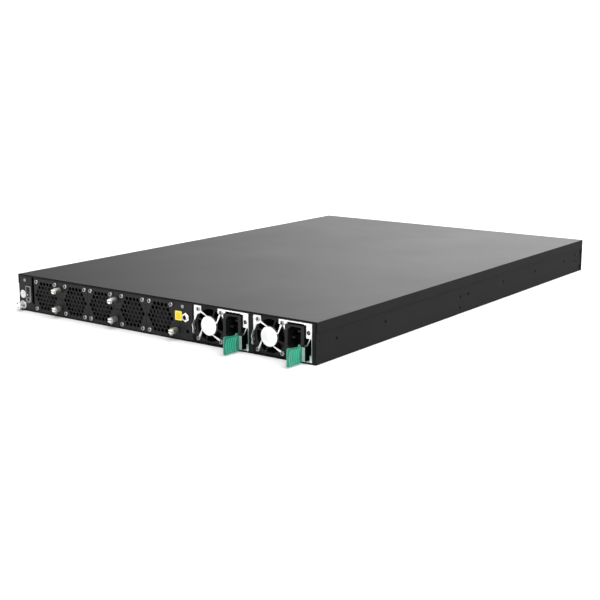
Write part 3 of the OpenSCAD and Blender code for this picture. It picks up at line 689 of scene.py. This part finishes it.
def service_fittings():
    """Grey rim of the service plate, the ring of its jack and its indicator's lens."""
    low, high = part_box("service_bezel")
    centre = centre_of("service_bezel")
    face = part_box("service_panel")[1].y
    width, height = high.x - low.x + 0.1 * MM, high.z - low.z + 0.1 * MM
    band = 1.1 * MM
    outer = rounded(width, height, (3.4 * MM, 3.4 * MM, 0.5 * MM, 0.5 * MM))
    inner = rounded(width - 2 * band, height - 2 * band, (2.4 * MM, 2.4 * MM, 0.3 * MM, 0.3 * MM))
    foot, crest = face + 0.05 * MM, high.y + 0.35 * MM
    mesh = bmesh.new()
    skin(mesh, [[mesh.verts.new((x, y, z)) for x, z in outline]
                for outline, y in ((outer, foot), (outer, crest), (inner, crest), (inner, foot))],
         ring=True)
    jack = [(1.9 * MM, high.y), (3 * MM, high.y), (2.8 * MM, high.y + 0.3 * MM),
            (2.1 * MM, high.y + 0.3 * MM), (1.9 * MM, high.y + 0.1 * MM)]
    move(mesh, tube(mesh, jack, 40), (0, 0, -6 * MM))
    dome = [(0.78 * MM, high.y - 1 * MM), (0.78 * MM, high.y + 0.1 * MM),
            (0.6 * MM, high.y + 0.35 * MM), (0.2 * MM, high.y + 0.45 * MM)]
    move(mesh, lathe(mesh, dome, 24, 1), (1.2 * MM, 0, -0.6 * MM))
    move(mesh, mesh.verts[:], (centre.x, 0, centre.z))
    piece("service_plate_rim", mesh, [GREY_PLASTIC, CLEAR_LENS], "root")


# ---------- Fans ----------

BLADES = 7
BLADE_HALF = 0.45 * MM
HUB_RADIUS = 10.5 * MM


def blade_point(hub, tip, depth, across, along, lift):
    """A point on a swept, twisted blade: across from hub to tip, along from edge to edge."""
    radius = hub + (tip - hub) * across
    sweep = radians(16) * across * across
    half_arc = radians(25) - radians(5) * across
    angle = sweep + half_arc * (2 * along - 1)
    camber = 0.16 * sin(pi * along)
    slope = along - 0.5 + camber
    y = depth * 0.82 * slope + lift
    return Vector((radius * cos(angle), y, radius * sin(angle)))


def blade(mesh, turn, hub, tip, depth, middle):
    """One blade: two sheets that near each other towards its edges, closed all round."""
    spans, chords = 8, 10
    sides = []
    for lift in (-BLADE_HALF, BLADE_HALF):
        grid = []
        for i in range(spans + 1):
            row = []
            for j in range(chords + 1):
                thin = sin(pi * (0.12 + 0.76 * j / chords))
                point = blade_point(hub - 0.5 * MM, tip, depth, i / spans, j / chords,
                                    middle + lift * thin)
                row.append(mesh.verts.new(turn @ point))
            grid.append(row)
        sides.append(grid)
    lower, upper = sides
    for i in range(spans):
        for j in range(chords):
            for sheet in sides:
                mesh.faces.new((sheet[i][j], sheet[i][j + 1], sheet[i + 1][j + 1],
                                sheet[i + 1][j]))
    for i in range(spans):
        for j in (0, chords):
            mesh.faces.new((lower[i][j], lower[i + 1][j], upper[i + 1][j], upper[i][j]))
    for j in range(chords):
        for i in (0, spans):
            mesh.faces.new((lower[i][j], lower[i][j + 1], upper[i][j + 1], upper[i][j]))


def impeller(node, hub):
    """A moulded hub cup with swept blades, on a steel shaft."""
    low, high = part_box(node)
    tip = (high.x - low.x) / 2 * 0.985
    depth = (high.y - low.y) * 0.78
    middle = (low.y + high.y) / 2 + 0.5 * MM
    shaft = 1 * MM
    mesh = bmesh.new()
    inner = hub - 1.4 * MM
    cup = [(0.4 * MM, low.y), (hub - 2 * MM, low.y), (hub - 0.6 * MM, low.y + 0.5 * MM),
           (hub, low.y + 1.8 * MM), (hub, high.y - 1.2 * MM), (inner, high.y - 1.2 * MM),
           (inner, low.y + 2.4 * MM), (0.4 * MM, low.y + 2.4 * MM)]
    tube(mesh, cup, 56)
    lathe(mesh, [(shaft, low.y + 1.4 * MM), (shaft, high.y - 0.3 * MM),
                 (shaft * 0.7, high.y)], 20, 1)
    for k in range(BLADES):
        turn = Matrix.Rotation(2 * pi * k / BLADES, 4, "Y")
        blade(mesh, turn, hub, tip, depth, middle)
    centre = centre_of(node)
    move(mesh, mesh.verts[:], (centre.x, 0, centre.z))
    piece(f"{node}_swept", mesh, [FAN_PLASTIC, SCREW_PLATE], body_of(node), node)


# ---------- Power supplies ----------

RIBS = 5
RIB_PITCH = 3.6 * MM
RIB_BOW = 3 * MM
RIB_HALF = 1.25 * MM
RIB_RELIEF = 0.65 * MM
GUARD_RISE = 1.6 * MM  # from a supply's flat face out to the hub of its fan guard
INDICATOR_INSET = 69.3 * MM  # from the face's edge beside the fan
INDICATOR_UP = 31.6 * MM  # from the ground


def rib_point(rib, along, length):
    """How far out a curved rib stands from the grip's foot, from its low end to its high end."""
    return length - 2.6 * MM - rib * RIB_PITCH - RIB_BOW * ((along - 0.42) / 0.58) ** 2


def grip_rib(mesh, rib, low, length, crown):
    """One curved rib, round in section, that fades into the grip at both ends."""
    steps, sides = 16, 8
    bottom, top = 1 * MM, crown - 1.2 * MM
    rows = []
    for k in range(steps + 1):
        t = k / steps
        fade = min(1, 8 * t, 8 * (1 - t)) * 0.85 + 0.15
        row = []
        for side in range(sides + 1):
            angle = pi * side / sides
            row.append(mesh.verts.new((
                low.x + RIB_RELIEF + 0.05 * MM - RIB_RELIEF * fade * sin(angle),
                low.y + rib_point(rib, t, length) + RIB_HALF * cos(angle),
                low.z + bottom + (top - bottom) * t)))
        rows.append(row)
    skin(mesh, rows)


def release_grip(supply):
    """A moulded grip with curved ribs for the thumb on its outer side."""
    node = f"{supply}_latch_grip"
    low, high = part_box(node)
    length, rise = high.y - low.y, high.z - low.z
    crown = rise - 1.6 * MM
    outline = [(0, 0.5 * MM), (length - 1.4 * MM, 0), (length - 0.4 * MM, 0.5 * MM),
               (length, 1.6 * MM), (length, crown + 0.2 * MM),
               (length - 0.5 * MM, rise - 0.6 * MM),
               (length - 1.6 * MM, rise - 0.3 * MM), (5.2 * MM, crown - 0.9 * MM),
               (3.2 * MM, rise), (2.2 * MM, rise - 0.3 * MM), (1.8 * MM, crown - 1.2 * MM),
               (0, crown - 1.6 * MM)]
    mesh = bmesh.new()
    prism(mesh, outline, low.x + RIB_RELIEF, high.x, "X")
    bmesh.ops.bevel(mesh, geom=mesh.edges[:], offset=0.3 * MM, segments=2, affect="EDGES",
                    profile=0.6)
    bmesh.ops.translate(mesh, vec=(0, low.y, low.z), verts=mesh.verts[:])
    # The grip's face between the ribs takes the darker green: painted shade in the grooves.
    for face in mesh.faces:
        inside = face.calc_center_median().z < low.z + crown - 1 * MM
        face.material_index = 1 if face.normal.x < -0.9 and inside else 0
    for rib in range(RIBS):
        grip_rib(mesh, rib, low, length, crown)
    piece(f"{supply}_grip_ribbed", mesh, [GREEN_PLASTIC, GREEN_GROOVE_PAINTED_SHADE], body_of(node), node)


def release_spring(supply):
    """The spring strip, bright outside the supply and dark inside it, where the dark is painted
    shade.
    """
    node = f"{supply}_latch_spring"
    thing = softened(node, [SPRING_STEEL, SPRING_STEEL_PAINTED_SHADE], 0.12 * MM)
    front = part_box(f"{supply}_face")[1].y - GUARD_RISE
    for face in thing.data.polygons:
        face.material_index = 0 if face.center.y > front else 1


def supply_indicator(supply):
    """Black holder and grey lens in the hole above the release grip."""
    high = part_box(f"{supply}_face")[1]
    front = high.y - GUARD_RISE
    mesh = bmesh.new()
    holder = [(1 * MM, front - 3 * MM), (2.1 * MM, front - 3 * MM), (2.1 * MM, front - 0.1 * MM),
              (1.7 * MM, front + 0.25 * MM), (1.2 * MM, front + 0.1 * MM),
              (1 * MM, front - 0.3 * MM)]
    tube(mesh, holder, 32)
    lens_rings = [(0.98 * MM, front - 2.6 * MM), (0.98 * MM, front - 0.2 * MM),
                  (0.75 * MM, front + 0.1 * MM), (0.3 * MM, front + 0.22 * MM)]
    lathe(mesh, lens_rings, 24, 1)
    move(mesh, mesh.verts[:], (high.x - INDICATOR_INSET, 0, INDICATOR_UP))
    piece(f"{supply}_indicator", mesh, [BLACK_PLASTIC, GREY_LENS], f"{supply}_unit")


def grounding_leaf(supply):
    """A wavy leaf of bright metal standing out at the edge of the supply's fan side."""
    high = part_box(f"{supply}_face")[1]
    waves, steps, thickness = 2, 24, 0.9 * MM
    foot, crest = high.z - 31 * MM, high.z - 16 * MM
    mesh = bmesh.new()
    rows = []
    for k in range(steps + 1):
        t = k / steps
        z = foot + (crest - foot) * t
        bulge = high.x - 0.1 * MM + 0.5 * MM * sin(2 * pi * waves * t)
        lift = high.y - 0.4 * MM + 2.2 * MM * sin(pi * t) ** 0.5
        rows.append([mesh.verts.new((bulge - thickness, high.y - 1.9 * MM, z)),
                     mesh.verts.new((bulge - thickness, lift, z)),
                     mesh.verts.new((bulge, lift, z)),
                     mesh.verts.new((bulge, high.y - 1.9 * MM, z))])
    skin(mesh, rows)
    piece(f"{supply}_grounding_leaf", mesh, BRIGHT_SHEET, f"{supply}_unit")


LAMP_START = -208 * MM
LAMP_PITCH = 5 * MM
LAMP_COLUMNS = 4
LAMP_ROWS = (14 * MM, 20 * MM, 26 * MM)
USB_LAMP = (-152 * MM, 26 * MM)


def port_indicators():
    """Lenses in the port panel's small round holes."""
    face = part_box("front_panel")[0].y
    places = [(LAMP_START + LAMP_PITCH * k, z) for k in range(LAMP_COLUMNS) for z in LAMP_ROWS]
    places.append(USB_LAMP)
    mesh = bmesh.new()
    for x, z in places:
        rings = [(0.25 * MM, face + 0.05 * MM), (0.7 * MM, face + 0.2 * MM),
                 (0.85 * MM, face + 0.5 * MM), (0.85 * MM, face + 2.4 * MM)]
        move(mesh, lathe(mesh, rings, 24), (x, 0, z))
    piece("port_indicators", mesh, CLEAR_LENS, "root")


# ---------- Labels ----------

def disc(mesh, radius, low, high, material=0, inner=None):
    """A flat disc, or a flat ring when it has an inner radius."""
    if inner is None:
        return lathe(mesh, [(radius, low), (radius - 0.04 * MM, high)], 64, material)
    rings = [(inner, low), (radius, low), (radius, high), (inner, high)]
    return tube(mesh, rings, 64, material)


def bar(mesh, x, z, width, height, low, high, material=0):
    """A flat bar about a middle point."""
    outline = [(x - width / 2, z - height / 2), (x + width / 2, z - height / 2),
               (x + width / 2, z + height / 2), (x - width / 2, z + height / 2)]
    return prism(mesh, outline, low, high, material=material)


def earth_label():
    """White disc with the general earth symbol in its ring."""
    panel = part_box("service_panel")[1]
    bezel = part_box("service_bezel")
    radius = 4.8 * MM
    x = bezel[1].x + 1.15 * MM + radius
    z = (bezel[0].z + bezel[1].z) / 2 - 0.6 * MM
    face = panel.y
    film, ink = face + 0.12 * MM, face + 0.15 * MM
    mesh = bmesh.new()
    disc(mesh, radius, face + 0.01 * MM, film)
    disc(mesh, 3.7 * MM, film - 0.02 * MM, ink, 1, 3.4 * MM)
    thick = 0.3 * MM
    bar(mesh, 0, 1.3 * MM, thick, 2.4 * MM, film - 0.02 * MM, ink, 1)
    for k, width in enumerate((3.8, 2.4, 1.1)):
        bar(mesh, 0, (0.1 - 0.85 * k) * MM, width * MM, thick, film - 0.02 * MM, ink, 1)
    move(mesh, mesh.verts[:], (x, 0, z))
    piece("earth_label", mesh, [WHITE_FILM, INK], "root")


def yellow_label():
    """Plain yellow label beside the antenna jack, with a deeper field and no print."""
    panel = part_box("timing_panel")
    width, height = 9.8 * MM, 10.2 * MM
    x = panel[1].x - 0.7 * MM - width / 2
    z = centre_of("sma_jack").z + 0.3 * MM
    face = panel[1].y
    mesh = bmesh.new()
    corner = [0.8 * MM] * 4
    prism(mesh, rounded(width, height, corner), face + 0.01 * MM, face + 0.12 * MM)
    field = rounded(width - 3.4 * MM, height - 3.2 * MM, corner)
    prism(mesh, field, face + 0.1 * MM, face + 0.14 * MM, material=1)
    move(mesh, mesh.verts[:], (x, 0, z))
    piece("yellow_label", mesh, [YELLOW_FILM, AMBER_FILM], "root")


# ---------- Finishes of the carried-over pieces ----------

def finish_cad():
    """Materials of the CAD pieces that stay as they are."""
    plain = {
        "port_cages": ZINC_SHEET, "port_connectors": BLACK_PLASTIC,
        "management_ports": ZINC_SHEET, "main_board": BOARD, "fan_board": BOARD,
        "heatsinks": FIN_METAL, "panel_screws": SCREW_PLATE,
        "service_button": BLACK_PLASTIC,
    }
    for fan in FANS:
        plain[f"{fan}_frame"] = FAN_PLASTIC
    for supply in SUPPLIES:
        plain[f"{supply}_fan_frame"] = FAN_PLASTIC
        plain[f"{supply}_board"] = BOARD
        plain[f"{supply}_case"] = ZINC_SHEET
    for node, material in plain.items():
        finish_node(node, material)


def finish_sheet_metal():
    """Pieces with softened edges. The cover's flanges get the side walls' duller, darker coat,
    which is painted shade on its sides.
    """
    cover = softened("top_cover", [COVER_COAT, SIDE_COAT_PAINTED_SHADE], 0.7 * MM, 3)
    # Faces that don't point up take the side coat, which paints shade on the cover's sides.
    for face in cover.data.polygons:
        face.material_index = 0 if face.normal.z > 0.7 else 1
    softened("chassis_base", SIDE_COAT_PAINTED_SHADE, 0.35 * MM)
    softened("front_panel", PANEL_COAT, 0.12 * MM)
    # The supply cage and the rear frame take the darker coat, painted shade round the supply bays.
    softened("psu_cage", CAGE_COAT_PAINTED_SHADE, 0.2 * MM)
    softened("rear_frame", CAGE_COAT_PAINTED_SHADE, 0.2 * MM)
    for node in ("service_panel", "timing_panel"):
        softened(node, PANEL_COAT, 0.2 * MM)
    for fan in FANS:
        softened(f"{fan}_face", PANEL_COAT, 0.12 * MM)
    softened("service_bezel", BLACK_PLASTIC, 0.2 * MM)
    for supply in SUPPLIES:
        softened(f"{supply}_face", BRIGHT_SHEET, 0.15 * MM)
        softened(f"{supply}_inlet", BLACK_PLASTIC, 0.25 * MM)


def build():
    """Finishes the CAD pieces and adds the detailed ones."""
    finish_cad()
    finish_sheet_metal()
    for fan in FANS:
        thumbscrew(fan)
        impeller(f"{fan}_rotor", HUB_RADIUS)
        socket_screws(f"{fan}_screws", *FAN_SCREW)
    for supply in SUPPLIES:
        impeller(f"{supply}_rotor", HUB_RADIUS)
        socket_screws(f"{supply}_screws", *SUPPLY_SCREW)
        release_grip(supply)
        release_spring(supply)
        supply_indicator(supply)
        grounding_leaf(supply)
    ground_stud()
    ground_nut()
    antenna_jack()
    service_fittings()
    port_indicators()
    earth_label()
    yellow_label()


bpy.context.scene.view_settings.view_transform = "Standard"
camera()
studio()
floor()
build()
